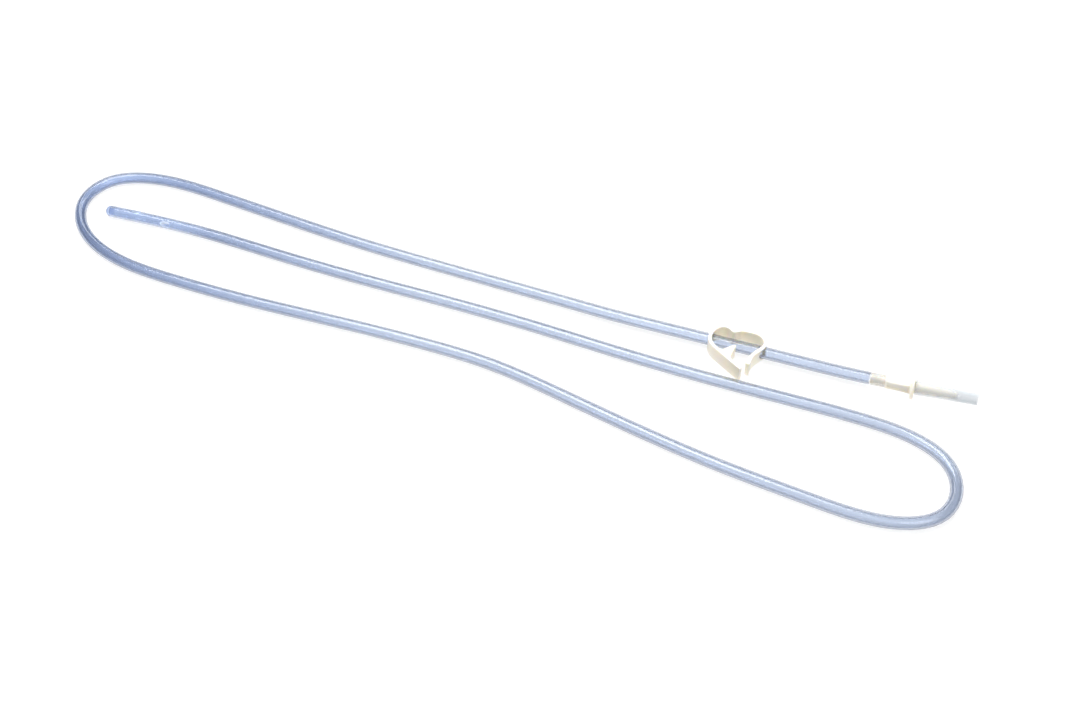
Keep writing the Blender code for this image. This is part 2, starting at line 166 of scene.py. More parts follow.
class TubeSettings(bpy.types.PropertyGroup):
    outer_diameter: length("Outer diameter", "Outside of the soft tube", 7.0 * MM)
    wall: length("Wall", "Thickness of the tube's wall", 1.0 * MM)
    sides: IntProperty(
        name="Sides", description="Corners round the tube", default=48, min=12, subtype="UNSIGNED"
    )
    spacing: length("Spacing", "Distance between the rings along the tube", 4.0 * MM)
    eye_length: length("Eye length", "Length of a side eye along the tube", 5.5 * MM)
    eye_width: length("Eye width", "Width of a side eye", 3.5 * MM)
    tint: colour("Tint", "Bluish tint of the clear plastic", (0.66, 0.735, 0.885))
    # Pale tint is painted light: the tube's half on the connector's side is painted lighter, standing in
    # for the lamps' light on it.
    painted_light_tint: colour("Pale tint", "Its paler tint, towards the connector", (0.865, 0.90, 0.95))
    haze: colour("Haze", "Colour of the faint cloudy streaks in the plastic", (0.58, 0.66, 0.84))
    # Rim is painted shade: a dark colour where the wall is seen edge-on, partly the deeper tint of the
    # longer path through the plastic, mostly standing in for the dark surroundings seen in the wall there.
    rim: colour("Rim", "Deeper tint where the wall is seen edge-on", (0.07, 0.10, 0.19))
    solid_tint: colour("Solid tint", "Tint of the solid end of the tip", (0.42, 0.51, 0.74))
    cut_face: colour("Cut face", "Light of the eyes' cut walls", (0.40, 0.48, 0.63))
    clearness: share("Clearness", "How much light the plastic lets through", 0.985)


class ClampSettings(bpy.types.PropertyGroup):
    strip_width: length("Strip width", "Height of the strip over the floor", 9.6 * MM)
    strip_thickness: length("Strip thickness", "Thickness of the bent strip", 2.0 * MM)
    edge_radius: length("Edge radius", "Rounding of the strip's long edges", 0.35 * MM)
    hole_clearance: length("Hole clearance", "Room between the tube and its holes", 0.35 * MM)
    ivory: colour("Ivory", "Colour of the moulded plastic", (0.98, 0.885, 0.79))
    warm_ivory: colour("Warm ivory", "Colour of its thicker, warmer places", (0.97, 0.86, 0.75))


class ConnectorSettings(bpy.types.PropertyGroup):
    barb_length: length("Barb length", "Length pushed into the tube", 8.1 * MM)
    stop_ring_diameter: length("Stop ring", "Outside of the ring that the tube butts against", 7.6 * MM)
    grip_length: length("Grip length", "Length of the square finger grip", 13.6 * MM)
    flange_diameter: length("Flange", "Outside of the round flange", 14.2 * MM)
    spike_length: length("Spike length", "Length from the flange to the spike's end", 23.3 * MM)
    channel_diameter: length("Channel", "Hole through the connector", 2.6 * MM)


class CapSettings(bpy.types.PropertyGroup):
    cap_length: length("Length", "Length of the cap", 34.0 * MM)
    wall: length("Wall", "Thickness of the cap's wall", 0.7 * MM)
    frost: colour("Frost", "Colour of the frosted plastic", (0.72, 0.76, 0.80))
    haze: share("Haze", "How much each wall of the cap hides", 0.08)
    rim_haze: share("Rim haze", "How much more it hides where it is seen edge on", 0.42)
    end_haze: share("End haze", "How much more the thicker closed end hides", 0.24)


class StageSettings(bpy.types.PropertyGroup):
    floor: colour("Floor", "Colour of the plain floor", (0.27, 0.27, 0.27))
    floor_size: length("Floor size", "Side of the square floor", 9.0)
    key_power: power("Key light", "Power of the large soft light", 27.0)
    back_power: power("Back strip", "Power of the strip light behind", 12.0)
    side_power: power("Side light", "Power of the soft light in front", 4.5)
    glow: share("Glow", "Light that the floor gives by itself", 0.8)
    sky: share("Sky", "Strength of the light from all round", 0.36)


# Materials


class Number:
    """One number that changes over a surface, worked out with Python's own signs."""

    def __init__(self, finish, socket):
        self.finish, self.socket = finish, socket

    def worked(self, operation, first, second):
        node = self.finish.node("ShaderNodeMath", {"operation": operation}, {0: first, 1: second})
        return Number(self.finish, node.outputs[0])

    def __add__(self, other):
        return self.worked("ADD", self, other)

    def __rsub__(self, other):
        return self.worked("SUBTRACT", other, self)

    def __mul__(self, other):
        return self.worked("MULTIPLY", self, other)

    __radd__ = __add__
    __rmul__ = __mul__


class Finish:
    """A material with one principled shader, and the nodes that vary it over a surface."""

    def __init__(self, name):
        self.material = bpy.data.materials.new(name)
        self.material.use_nodes = True
        self.tree = self.material.node_tree
        self.shader = self.tree.nodes["Principled BSDF"]

    def node(self, kind, settings=None, inputs=None):
        """Add a node: its settings first, then the value or link of each socket."""
        made = self.tree.nodes.new(kind)
        for name, value in (settings or {}).items():
            setattr(made, name, value)
        for name, value in (inputs or {}).items():
            self.feed(made.inputs[name], value)
        return made

    def feed(self, socket, value):
        """Link a socket to a number or node output, or set its value."""
        if isinstance(value, Number):
            value = value.socket
        if isinstance(value, bpy.types.NodeSocket):
            self.tree.links.new(value, socket)
        elif socket.type == "RGBA":
            socket.default_value = (*value, 1.0)
        else:
            socket.default_value = value

    def set(self, **values):
        """Set the shader's own sockets, named with underscores for spaces."""
        for name, value in values.items():
            self.feed(self.shader.inputs[name.replace("_", " ").title()], value)

    def place(self, source, scale):
        """Surface coordinates, stretched by a scale along each axis."""
        coordinates = self.node("ShaderNodeTexCoord")
        stretched = self.node(
            "ShaderNodeMapping", None, {"Vector": coordinates.outputs[source], "Scale": scale}
        )
        return stretched.outputs["Vector"]

    def noise(self, source, cells, detail=2.0):
        """A soft random number from 0 to 1, with so many cells a metre along each axis."""
        place = self.place(source, cells)
        node = self.node(
            "ShaderNodeTexNoise", None, {"Vector": place, "Scale": 1.0, "Detail": detail, "Roughness": 0.5}
        )
        return Number(self, node.outputs[0])

    def facing(self):
        """A number that rises from 0 where the surface is seen straight on to 1 at its rim."""
        node = self.node("ShaderNodeLayerWeight", None, {"Blend": 0.5})
        return Number(self, node.outputs["Facing"])

    def across(self, span, source="Object", axis="X"):
        """A number that rises from 0 to 1 between two places along one coordinate."""
        node = self.node("ShaderNodeTexCoord")
        split = self.node("ShaderNodeSeparateXYZ", None, {"Vector": node.outputs[source]})
        start, end = span
        ramp = self.node(
            "ShaderNodeMapRange", None, {"Value": split.outputs[axis], "From Min": start, "From Max": end}
        )
        return Number(self, ramp.outputs["Result"])

    def blend(self, factor, first, second):
        """A colour between two colours."""
        node = self.node(
            "ShaderNodeMix", {"data_type": "RGBA"}, {"Factor": factor, 6: first, 7: second}
        )
        return node.outputs[2]

    def relief(self, height, depth, strength=1.0):
        """Small bumps of a real depth, in metres."""
        node = self.node(
            "ShaderNodeBump", None, {"Height": height, "Distance": depth, "Strength": strength}
        )
        self.feed(self.shader.inputs["Normal"], node.outputs["Normal"])


def clear_tube_finish(tube):
    """Soft clear plastic: faint long streaks from extrusion, and clearest where it grips the barb.

    The edges carry painted shade where the wall is seen edge-on, and the half on the connector's side is
    painted paler as painted light. The eyes' walls give off a little light, because light caught in the
    clear wall would leave them black.
    """
    finish = Finish("soft_clear_tube")
    streaks = finish.noise("UV", (6.0, 420.0, 1.0), detail=3.0)
    clouds = finish.noise("UV", (22.0, 60.0, 1.0), detail=2.0)
    body = finish.blend(clouds * 0.5 + streaks * 0.3, tube.tint, tube.haze)
    # Painted light: the half on the connector's side is painted paler, standing in for the lamps' light on
    # it.
    body = finish.blend(finish.across(PAINTED_LIGHT_FROM) * 0.6, body, tube.painted_light_tint)
    body = finish.blend(finish.across(SOLID_FROM, "UV"), body, tube.solid_tint)
    near_tip = finish.across(TIP_FROM, "UV")
    # Painted shade: darker towards the edges where the wall is seen edge-on, less so near the tip.
    body_with_edge_shade = finish.blend(finish.facing() * (1.0 - near_tip * 0.75), body, tube.rim)
    past_barb = finish.across(GRIPPED_UP_TO, "UV")
    eye_wall = finish.across((0.2 * EYE_WALL_MARK, 0.4 * EYE_WALL_MARK), "UV", "Y")
    finish.set(
        base_color=finish.blend(past_barb, (1.0, 0.98, 0.95), body_with_edge_shade),
        alpha=past_barb * 0.35 + 0.65,
        roughness=clouds * 0.05 + 0.06,
        transmission_weight=tube.clearness,
        emission_color=finish.blend(eye_wall, (0.0, 0.0, 0.0), tube.cut_face),
        emission_strength=1.0,
    )
    finish.shader.inputs["IOR"].default_value = 1.43
    finish.relief(streaks, 0.01 * MM, 0.1)
    return finish.material


def ivory_finish(clamp):
    """Moulded ivory plastic: even, slightly waxy, with a very fine grain."""
    finish = Finish("ivory_moulding")
    patches = finish.noise("Object", (90.0, 90.0, 90.0), detail=3.0)
    grain = finish.noise("Object", (5200.0, 5200.0, 5200.0), detail=2.0)
    finish.set(
        base_color=finish.blend(patches * 0.9, clamp.ivory, clamp.warm_ivory),
        roughness=patches * 0.12 + grain * 0.06 + 0.30,
        subsurface_weight=0.7,
        coat_weight=0.05,
    )
    finish.shader.inputs["Subsurface Radius"].default_value = (1.0, 0.8, 0.5)
    finish.shader.inputs["Subsurface Scale"].default_value = 4 * MM
    finish.relief(grain, 0.02 * MM, 0.4)
    return finish.material


def frosted_finish(cap):
    """Thin frosted plastic, half see-through, with more mist at its thicker closed end."""
    finish = Finish("frosted_sheath")
    mist = finish.noise("Object", (160.0, 400.0, 400.0), detail=3.0)
    grain = finish.noise("Object", (3800.0, 3800.0, 3800.0))
    at_end = finish.across(CAP_END_MIST_X)
    finish.set(
        base_color=finish.blend(mist * 0.6, cap.frost, tuple(0.94 * c for c in cap.frost)),
        roughness=mist * 0.10 + 0.28,
        alpha=mist * 0.08 + at_end * cap.end_haze + finish.facing() * cap.rim_haze + cap.haze,
    )
    finish.relief(grain, 0.02 * MM, 0.5)
    return finish.material


def floor_finish(stage):
    """A plain matt floor."""
    finish = Finish("plain_floor")
    wear = finish.noise("Object", (0.8, 0.8, 0.8))
    finish.set(base_color=stage.floor, roughness=wear * 0.06 + 0.82)
    finish.shader.inputs["Emission Color"].default_value = (1.0, 1.0, 1.0, 1.0)
    finish.shader.inputs["Emission Strength"].default_value = stage.glow
    return finish.material


# Modelling by hand: short names for what is done again and again


def deselect_all():
    for obj in bpy.context.selected_objects:
        obj.select_set(False)


def named(name):
    """Name the active object and its mesh."""
    obj = bpy.context.object
    obj.name = obj.data.name = name
    return obj


def edit(obj):
    """Open one object, alone, for modelling, with faces to select."""
    deselect_all()
    obj.select_set(True)
    bpy.context.view_layer.objects.active = obj
    bpy.ops.object.mode_set(mode="EDIT")


def select_faces(obj, wanted):
    """Select the faces whose centre and normal fit a test."""
    mesh = bmesh.from_edit_mesh(obj.data)
    for face in mesh.faces:
        face.select_set(bool(wanted(face.calc_center_median(), face.normal)))
    mesh.select_flush_mode()
    bmesh.update_edit_mesh(obj.data)


def close_edit():
    """Make the faces point outwards and leave edit mode."""
    bpy.ops.mesh.select_all(action="SELECT")
    bpy.ops.mesh.normals_make_consistent(inside=False)
    bpy.ops.object.mode_set(mode="OBJECT")


def settle(obj):
    """Put the object's place into its mesh."""
    deselect_all()
    obj.select_set(True)
    bpy.context.view_layer.objects.active = obj
    bpy.ops.object.transform_apply(location=True, rotation=True, scale=True)


def finish_step(obj, kind, **settings):
    """Add a modifier and apply it at once."""
    bpy.context.view_layer.objects.active = obj
    step = obj.modifiers.new(kind.title(), kind)
    for name, value in settings.items():
        setattr(step, name, value)
    bpy.ops.object.modifier_apply(modifier=step.name)


def combine(obj, other, operation):
    """Join or cut with another solid, which is then thrown away."""
    finish_step(obj, "BOOLEAN", operation=operation, solver="EXACT", object=other)
    bpy.data.objects.remove(other, do_unlink=True)


def soften(obj, width, segments=3, angle=35):
    """Round the sharp edges of a moulding."""
    finish_step(
        obj,
        "BEVEL",
        width=width,
        segments=segments,
        limit_method="ANGLE",
        angle_limit=radians(angle),
        use_clamp_overlap=True,
        harden_normals=False,
    )


def shade(obj, material, angle=32):
    """Smooth shading with sharp corners kept, and the piece's material."""
    deselect_all()
    obj.select_set(True)
    bpy.context.view_layer.objects.active = obj
    bpy.ops.object.shade_smooth_by_angle(angle=radians(angle))
    obj.data.materials.clear()
    obj.data.materials.append(material)


def turned(name, profile, sides):
    """Turn a round piece about X by extruding and scaling a disc from station to station."""
    deselect_all()
    (x, radius), rest = profile[0], profile[1:]
    bpy.ops.mesh.primitive_circle_add(
        vertices=sides, radius=radius, fill_type="NGON", location=(x, 0, 0), rotation=(0, pi / 2, 0)
    )
    obj = named(name)
    settle(obj)
    edit(obj)
    for next_x, next_radius in rest:
        bpy.ops.mesh.extrude_region_move(TRANSFORM_OT_translate={"value": (next_x - x, 0, 0)})
        ratio = next_radius / radius
        bpy.ops.transform.resize(value=(1, ratio, ratio), center_override=(next_x, 0, 0))
        x, radius = next_x, next_radius
    close_edit()
    return obj


def smooth_curve(points, steps, start_tangent=None):
    """A cubic spline of even curvature through the points, read at several steps a span."""
    p = np.array(points, float)
    h = np.linalg.norm(np.diff(p, axis=0), axis=1)
    n = len(p)
    a = np.zeros((n, n))
    b = np.zeros((n, p.shape[1]))
    slope = np.diff(p, axis=0) / h[:, None]
    for i in range(1, n - 1):
        a[i, i - 1 : i + 2] = (h[i], 2 * (h[i - 1] + h[i]), h[i - 1])
        b[i] = 3 * (h[i] * slope[i - 1] + h[i - 1] * slope[i])
    a[0, :2], b[0] = (2, 1), 3 * slope[0]
    a[-1, -2:], b[-1] = (1, 2), 3 * slope[-1]
    if start_tangent is not None:
        a[0, :2], b[0] = (1, 0), start_tangent
    m = np.linalg.solve(a, b)
    out = []
    for i in range(n - 1):
        for t in np.arange(steps) / steps:
            out.append(
                (2 * t**3 - 3 * t**2 + 1) * p[i]
                + (t**3 - 2 * t**2 + t) * h[i] * m[i]
                + (3 * t**2 - 2 * t**3) * p[i + 1]
                + (t**3 - t**2) * h[i] * m[i + 1]
            )
    out.append(p[-1])
    return np.array(out)


# The tube


def connector_height(flange_diameter):
    """Height of the connector's axis where the tube meets it, with the flange's rim on the floor."""
    flange_back = GRIP_START + bpy.context.scene.spike_connector.grip_length
    return flange_diameter / 2 * cos(PITCH) - flange_back * sin(PITCH)


def height_along(x, tube_end_height, clamp_height, radius):
    """Height of the tube's axis on the stretch between connector and first loop."""
    rise = 2 * (tube_end_height - clamp_height) / tan(PITCH)
    level_from = STRAIGHT_START_X - rise
    if x > level_from:
        return clamp_height + tan(PITCH) / (2 * rise) * (x - level_from) ** 2
    fall = max(0.0, min(1.0, (STRAIGHT_END_X - x) / LEVELLING_LENGTH))
    return clamp_height + (radius - clamp_height) * fall**2 * (3 - 2 * fall)


def tube_route(scene):
    """Points down the middle of the tube, from the connector to the end of the tip."""
    tube, clamp, spike = scene.flushing_tube, scene.pinch_clamp, scene.spike_connector
    radius = tube.outer_diameter / 2
    tube_end_x = STRAIGHT_START_X - SEAT_GAP * cos(PITCH)
    end_height = connector_height(spike.flange_diameter) - SEAT_GAP * sin(PITCH)
    straight = np.linspace((tube_end_x, LINE_Y), (STRAIGHT_END_X, LINE_Y), 100)
    loops = [(STRAIGHT_END_X, LINE_Y)] + [(x * MM, y * MM) for x, y in ROUTE]
    flat = np.vstack([straight[:-1], smooth_curve(loops, 60, start_tangent=(-1, 0))])
    points = []
    for x, y in flat:
        z = radius
        if y > LINE_Y - tube.outer_diameter:
            z = height_along(x, end_height, clamp.strip_width / 2, radius)
        points.append((x, y, z))
    points = np.array(points)
    along = np.concatenate([[0], np.cumsum(np.linalg.norm(np.diff(points, axis=0), axis=1))])
    at = np.linspace(0, along[-1], round(along[-1] / tube.spacing) + 1)
    return np.stack([np.interp(at, along, points[:, k]) for k in range(3)], axis=1)


def drawn_tube(name, route, radii, sides):
    """A tube drawn along the route as a round-bevelled curve, made a mesh."""
    line = bpy.data.curves.new(name, "CURVE")
    line.dimensions = "3D"
    line.twist_mode = "Z_UP"
    spline = line.splines.new("POLY")
    spline.points.add(len(route) - 1)
    for point, place, radius in zip(spline.points, route, radii):
        point.co, point.radius = (*place, 1.0), radius / radii[-1]
    line.bevel_depth = radii[-1]
    line.bevel_resolution = sides // 2 - 2
    obj = bpy.data.objects.new(name, line)
    bpy.context.collection.objects.link(obj)
    deselect_all()
    obj.select_set(True)
    bpy.context.view_layer.objects.active = obj
    bpy.ops.object.convert(target="MESH")
    return bpy.context.object


def barb_profile(length):
    """Stations and radii of the barb, from its free end to the stop ring at 0."""
    pitch = length / BARB_CRESTS
    profile = []
    for start in (k * pitch - length for k in range(BARB_CRESTS)):
        profile += [
            (start, BARB_NECK), (start + 0.75 * pitch, BARB_CREST), (start + 0.8 * pitch, BARB_NECK),
        ]
    return profile + [(0, BARB_NECK)]


def gripping_bore(body, bore):
    """The middle line and radii of the bore, drawn in where the soft wall grips the barb."""
    barb_length = bpy.context.scene.spike_connector.barb_length
    along = np.concatenate([[0], np.cumsum(np.linalg.norm(np.diff(body, axis=0), axis=1))])
    barb = [(-x - SEAT_GAP, r - BARB_BITE) for x, r in reversed(barb_profile(barb_length)[:-1])]
    stations = [(0, BARB_NECK - BARB_BITE)] + barb + [(barb_length + 1.2 * MM, bore)]
    stations += [(d, bore) for d in along if d > barb_length + 2 * MM]
    at, radii = np.array(stations).T
    return np.stack([np.interp(at, along, body[:, k]) for k in range(3)], axis=1), list(radii)


def select_end(obj, place):
    """Select the open edge of a tube that is nearest a place."""
    mesh = bmesh.from_edit_mesh(obj.data)
    bpy.ops.mesh.select_all(action="DESELECT")
    edges = [e for e in mesh.edges if e.is_boundary]
    near = min(edges, key=lambda e: (e.verts[0].co - place).length).verts[0].co.copy()
    reach = 3 * (near - place).length
    for edge in edges:
        if all((v.co - place).length < reach for v in edge.verts):
            edge.select_set(True)
    bmesh.update_edit_mesh(obj.data)


def dome_end(obj, centre, along, radius, rings=6):
    """Close the open end of a tube with a dome, ring by ring."""
    edit(obj)
    bpy.ops.mesh.select_mode(type="EDGE")
    select_end(obj, centre)
    ratio_before = 1.0
    reached = 0.0
    for k in range(1, rings + 1):
        angle = pi / 2 * k / (rings + 0.35)
        step = radius * sin(angle) - reached
        bpy.ops.mesh.extrude_region_move(TRANSFORM_OT_translate={"value": tuple(along * step)})
        reached += step
        ratio = cos(angle) / ratio_before
        bpy.ops.transform.resize(value=(ratio,) * 3, center_override=tuple(centre + along * reached))
        ratio_before = cos(angle)
    bpy.ops.mesh.edge_face_add()
    bpy.ops.object.mode_set(mode="OBJECT")


def eye_cutter(place, along, turn, size, width, radius):
    """A round-ended plug that opens outwards a little, so the eye's rim is rounded."""
    deselect_all()
    bpy.ops.mesh.primitive_circle_add(vertices=40, radius=width / 2, fill_type="NGON")
    plug = named("eye_plug")
    edit(plug)
    for side in (1, -1):
        mesh = bmesh.from_edit_mesh(plug.data)
        for vert in mesh.verts:
            vert.select_set(vert.co.x * side > 1e-6)
        mesh.select_flush_mode()
        bmesh.update_edit_mesh(plug.data)
        bpy.ops.transform.translate(value=(side * (size - width) / 2, 0, 0))
    bpy.ops.mesh.select_all(action="SELECT")
    reached = 0.0
    for above_skin, spread in EYE_STEPS:
        height = radius + above_skin
        bpy.ops.mesh.extrude_region_move(TRANSFORM_OT_translate={"value": (0, 0, height - reached)})
        bpy.ops.transform.resize(value=(spread, spread, 1), center_override=(0, 0, height))
        reached = height
    close_edit()
    away = Vector((-along.y, along.x, 0)).normalized()
    if away.y < 0:
        away = -away
    outward = cos(turn) * Vector((0, 0, 1)) + sin(turn) * away
    axes = Matrix((along, outward.cross(along), outward)).transposed()
    plug.matrix_world = Matrix.Translation(place) @ axes.to_4x4()
    settle(plug)
    return plug


def nearest_stations(places, route):
    """The number of the route's point that is nearest each place."""
    parts = np.array_split(places, max(1, len(places) // 2000))
    return np.concatenate(
        [np.argmin(((part[:, None, :] - route[None]) ** 2).sum(axis=2), axis=1) for part in parts]
    )


def lay_tube_map(obj, route, radius, bore):
    """A map of the tube's surface: metres along it and round it, with a mark on the eyes' walls."""
    mesh = obj.data
    while mesh.uv_layers:
        mesh.uv_layers.remove(mesh.uv_layers[0])
    layer = mesh.uv_layers.new(name="along_and_round")
    places = np.zeros(len(mesh.vertices) * 3)
    mesh.vertices.foreach_get("co", places)
    places = places.reshape(-1, 3)
    steps = np.diff(route, axis=0)
    steps = np.vstack([steps, steps[-1]])
    travelled = np.concatenate([[0], np.cumsum(np.linalg.norm(np.diff(route, axis=0), axis=1))])
    nearest = nearest_stations(places, route)
    side = np.stack([-steps[:, 1], steps[:, 0], np.zeros(len(steps))], axis=1)
    side /= np.linalg.norm(side, axis=1)[:, None]
    off = places - route[nearest]
    turn = np.arctan2(off[:, 2], (off * side[nearest]).sum(axis=1))
    ways = steps / np.linalg.norm(steps, axis=1)[:, None]
    ahead = (off * ways[nearest]).sum(axis=1)
    along = travelled[nearest] + ahead
    corners = np.zeros(len(mesh.loops), int)
    mesh.loops.foreach_get("vertex_index", corners)
    angles = turn[corners]
    depth = np.linalg.norm(off - ahead[:, None] * ways[nearest], axis=1)[corners]
    for face in mesh.polygons:
        span = slice(face.loop_start, face.loop_start + face.loop_total)
        if np.ptp(angles[span]) > pi:
            angles[span][angles[span] < 0] += 2 * pi
        in_wall = bore + EYE_WALL_MARGIN < depth[span].mean() < radius - EYE_WALL_MARGIN
        if in_wall and EYE_WALLS_BETWEEN[0] < along[corners[face.loop_start]] < EYE_WALLS_BETWEEN[1]:
            angles[span] = EYE_WALL_MARK / radius
    layer.data.foreach_set("uv", np.stack([along[corners], angles * radius], axis=1).ravel())


class MESH_OT_flushing_tube(bpy.types.Operator):
    """Draw the hollow tube along its route, with its closed tip and its two side eyes"""

    bl_idname = "mesh.flushing_tube"
    bl_label = "Flushing Tube"

    def execute(self, context):
        tube = context.scene.flushing_tube
        radius = tube.outer_diameter / 2
        bore = radius - tube.wall
        route = tube_route(context.scene)
        tip_end = Vector(route[-1])
        along = (tip_end - Vector(route[-3])).normalized()
        tip_centre = tip_end - radius * along
        body = [p for p in route if (Vector(p) - tip_end).length > radius + tube.spacing / 2]
        body = np.array(body + [tuple(tip_centre)])
        skin = drawn_tube("soft_tube", body, [radius] * len(body), tube.sides)
        dome_end(skin, tip_centre, along, radius)
        lining = drawn_tube("soft_tube_lining", *gripping_bore(body, bore), tube.sides)
        dome_end(lining, tip_centre, along, bore * BORE_END_FLATNESS)
        edit(lining)
        bpy.ops.mesh.select_all(action="SELECT")
        bpy.ops.mesh.flip_normals()
        bpy.ops.object.mode_set(mode="OBJECT")
        deselect_all()
        lining.select_set(True)
        skin.select_set(True)
        context.view_layer.objects.active = skin
        bpy.ops.object.join()
        edit(skin)
        bpy.ops.mesh.select_mode(type="EDGE")
        mesh = bmesh.from_edit_mesh(skin.data)
        bpy.ops.mesh.select_all(action="DESELECT")
        for edge in mesh.edges:
            edge.select_set(edge.is_boundary)
        bmesh.update_edit_mesh(skin.data)
        bpy.ops.mesh.bridge_edge_loops()
        close_edit()
        for distance, turn in EYES:
            place = tip_end - distance * along
            plug = eye_cutter(place, along, turn, tube.eye_length, tube.eye_width, radius)
            combine(skin, plug, "DIFFERENCE")
        lay_tube_map(skin, route, radius, bore)
        shade(skin, clear_tube_finish(tube), angle=40)
        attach(skin, "tube")
        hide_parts("flushing_tube")
        return {"FINISHED"}


# The pinch clamp


class MESH_OT_heart_clamp(bpy.types.Operator):
    """Bend the clamp's strip to a heart, add its tooth and latch lip, and cut its tube holes"""

    bl_idname = "mesh.heart_clamp"
    bl_label = "Heart Clamp"

    def execute(self, context):
        clamp, tube = context.scene.pinch_clamp, context.scene.flushing_tube
        width, thickness = clamp.strip_width, clamp.strip_thickness
        radius = tube.outer_diameter / 2
        middle = [(x * MM, y * MM) for x, y in TOOTHED_ARM + LOBES + LATCH_ARM]
        arm_end, arm_root = (np.array(p) for p in middle[:2])
        arm_way = (arm_root - arm_end) / np.linalg.norm(arm_root - arm_end)
        bends = smooth_curve(middle[1:], 7, start_tangent=arm_way)
        strip = bend_strip("heart_clamp", np.vstack([[arm_end], bends]), thickness, width)
        soften(strip, clamp.edge_radius)
        combine(strip, clamp_tooth(arm_end, arm_way, radius, width), "UNION")
        combine(strip, latch_lip(middle[-1], thickness, width), "UNION")
        hole = radius + clamp.hole_clearance
        tunnel = turned("clamp_tunnel", [(-30 * MM, hole), (30 * MM, hole)], ROUND_SIDES)
        tunnel.location = (0, 0, width / 2)
        combine(strip, tunnel, "DIFFERENCE")
        strip.location = (CLAMP_X, LINE_Y, 0)
        settle(strip)
        shade(strip, ivory_finish(clamp))
        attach(strip, "clamp")
        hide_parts("pinch_clamp")
        return {"FINISHED"}


def bend_strip(name, line, thickness, width):
    """A strip standing on edge: its end face is pushed along the line and turned at each station."""
    ways = np.gradient(line, axis=0)
    angles = np.unwrap(np.arctan2(ways[:, 1], ways[:, 0]))
    deselect_all()
    bpy.ops.mesh.primitive_plane_add(
        size=1, location=(line[0][0], line[0][1], width / 2), rotation=(pi / 2, 0, angles[0] + pi / 2)
    )
    strip = named(name)
    strip.scale = (thickness, width, 1)
    settle(strip)
    edit(strip)
    bpy.ops.mesh.select_all(action="SELECT")
    for before, here, turn in zip(line, line[1:], np.diff(angles)):
        step = (*(here - before), 0)
        bpy.ops.mesh.extrude_region_move(TRANSFORM_OT_translate={"value": step})
        bpy.ops.transform.rotate(
            value=-turn, orient_axis="Z", center_override=(here[0], here[1], width / 2)
        )
    close_edit()
    return strip


def clamp_tooth(arm_end, arm_way, radius, width):
    """The wedge that presses the tube shut: a bar on the arm, drawn out to a blunt edge."""
    base_from, base_to = (arm_end + arm_way * d for d in TOOTH_BASE)
    tips = [(x, -(radius + TOOTH_GAP)) for x in TOOTH_TIP]
    return drawn_prism("clamp_tooth", [base_from, *tips, base_to], width, TOOTH_ROUNDING)


def latch_lip(end, thickness, width):
    """The small hook on the shorter arm that the toothed arm snaps under."""
    x, y = end
    inner = x - thickness / 2
    outline = [
        (x, y), (x, y + LIP_HEIGHT), (inner, y + LIP_HEIGHT), (inner - LIP_DEPTH, y + LIP_UNDERCUT),
        (inner, y),
    ]
    return drawn_prism("latch_lip", outline, width, LIP_ROUNDING)


def drawn_prism(name, outline, height, rounding):
    """A flat shape of straight sides raised to a block, with rounded edges."""
    deselect_all()
    bpy.ops.mesh.primitive_circle_add(vertices=len(outline), radius=MM, fill_type="NGON")
    block = named(name)
    edit(block)
    mesh = bmesh.from_edit_mesh(block.data)
    mesh.verts.ensure_lookup_table()
    for vert, (x, y) in zip(mesh.verts, outline):
        vert.co = (x, y, 0)
    bmesh.update_edit_mesh(block.data)
    bpy.ops.mesh.select_all(action="SELECT")
    bpy.ops.mesh.extrude_region_move(TRANSFORM_OT_translate={"value": (0, 0, height)})
    close_edit()
    soften(block, rounding)
    return block


# The spike connector


def seat_on_connector(obj, scene):
    """Turn a piece made along X from the stop ring to the connector's slope, and put it there."""
    obj.rotation_euler = (0, -PITCH, 0)
    height = connector_height(scene.spike_connector.flange_diameter)
    obj.location = (STRAIGHT_START_X, LINE_Y, height)
    settle(obj)


class MESH_OT_spike_connector(bpy.types.Operator):
    """Turn the barb, ring, flange and spike, add the square grip, and bore the channel"""

    bl_idname = "mesh.spike_connector"
    bl_label = "Spike Connector"

    def execute(self, context):
        spike = context.scene.spike_connector
        ring = spike.stop_ring_diameter / 2
        flange = spike.flange_diameter / 2
        back = GRIP_START + spike.grip_length
        front = back + FLANGE_THICKNESS
        end = front + spike.spike_length
        flare = [(back - before, radius) for before, radius in FLANGE_FLARE]
        step = front + SPIKE_STEP_AT
        spike_stations = (front, step, step, end - SPIKE_CHAMFER, end)
        profile = barb_profile(spike.barb_length) + [
            (0, ring), (GRIP_START, ring), (GRIP_START, BARB_NECK), (flare[0][0], BARB_NECK), *flare,
            (back, flange), (front, flange), *zip(spike_stations, SPIKE_RADII),
        ]
        body = turned("spike_connector_moulding", profile, ROUND_SIDES)
        soften(body, 0.14 * MM, segments=2)
        combine(body, grip_block(spike.grip_length), "UNION")
        channel_radius = spike.channel_diameter / 2
        bore = turned(
            "channel", [(-spike.barb_length - MM, channel_radius), (end + MM, channel_radius)], 32
        )
        combine(body, bore, "DIFFERENCE")
        seat_on_connector(body, context.scene)
        shade(body, bpy.data.materials["ivory_moulding"])
        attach(body, "tube")
        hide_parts("spike_connector")
        return {"FINISHED"}


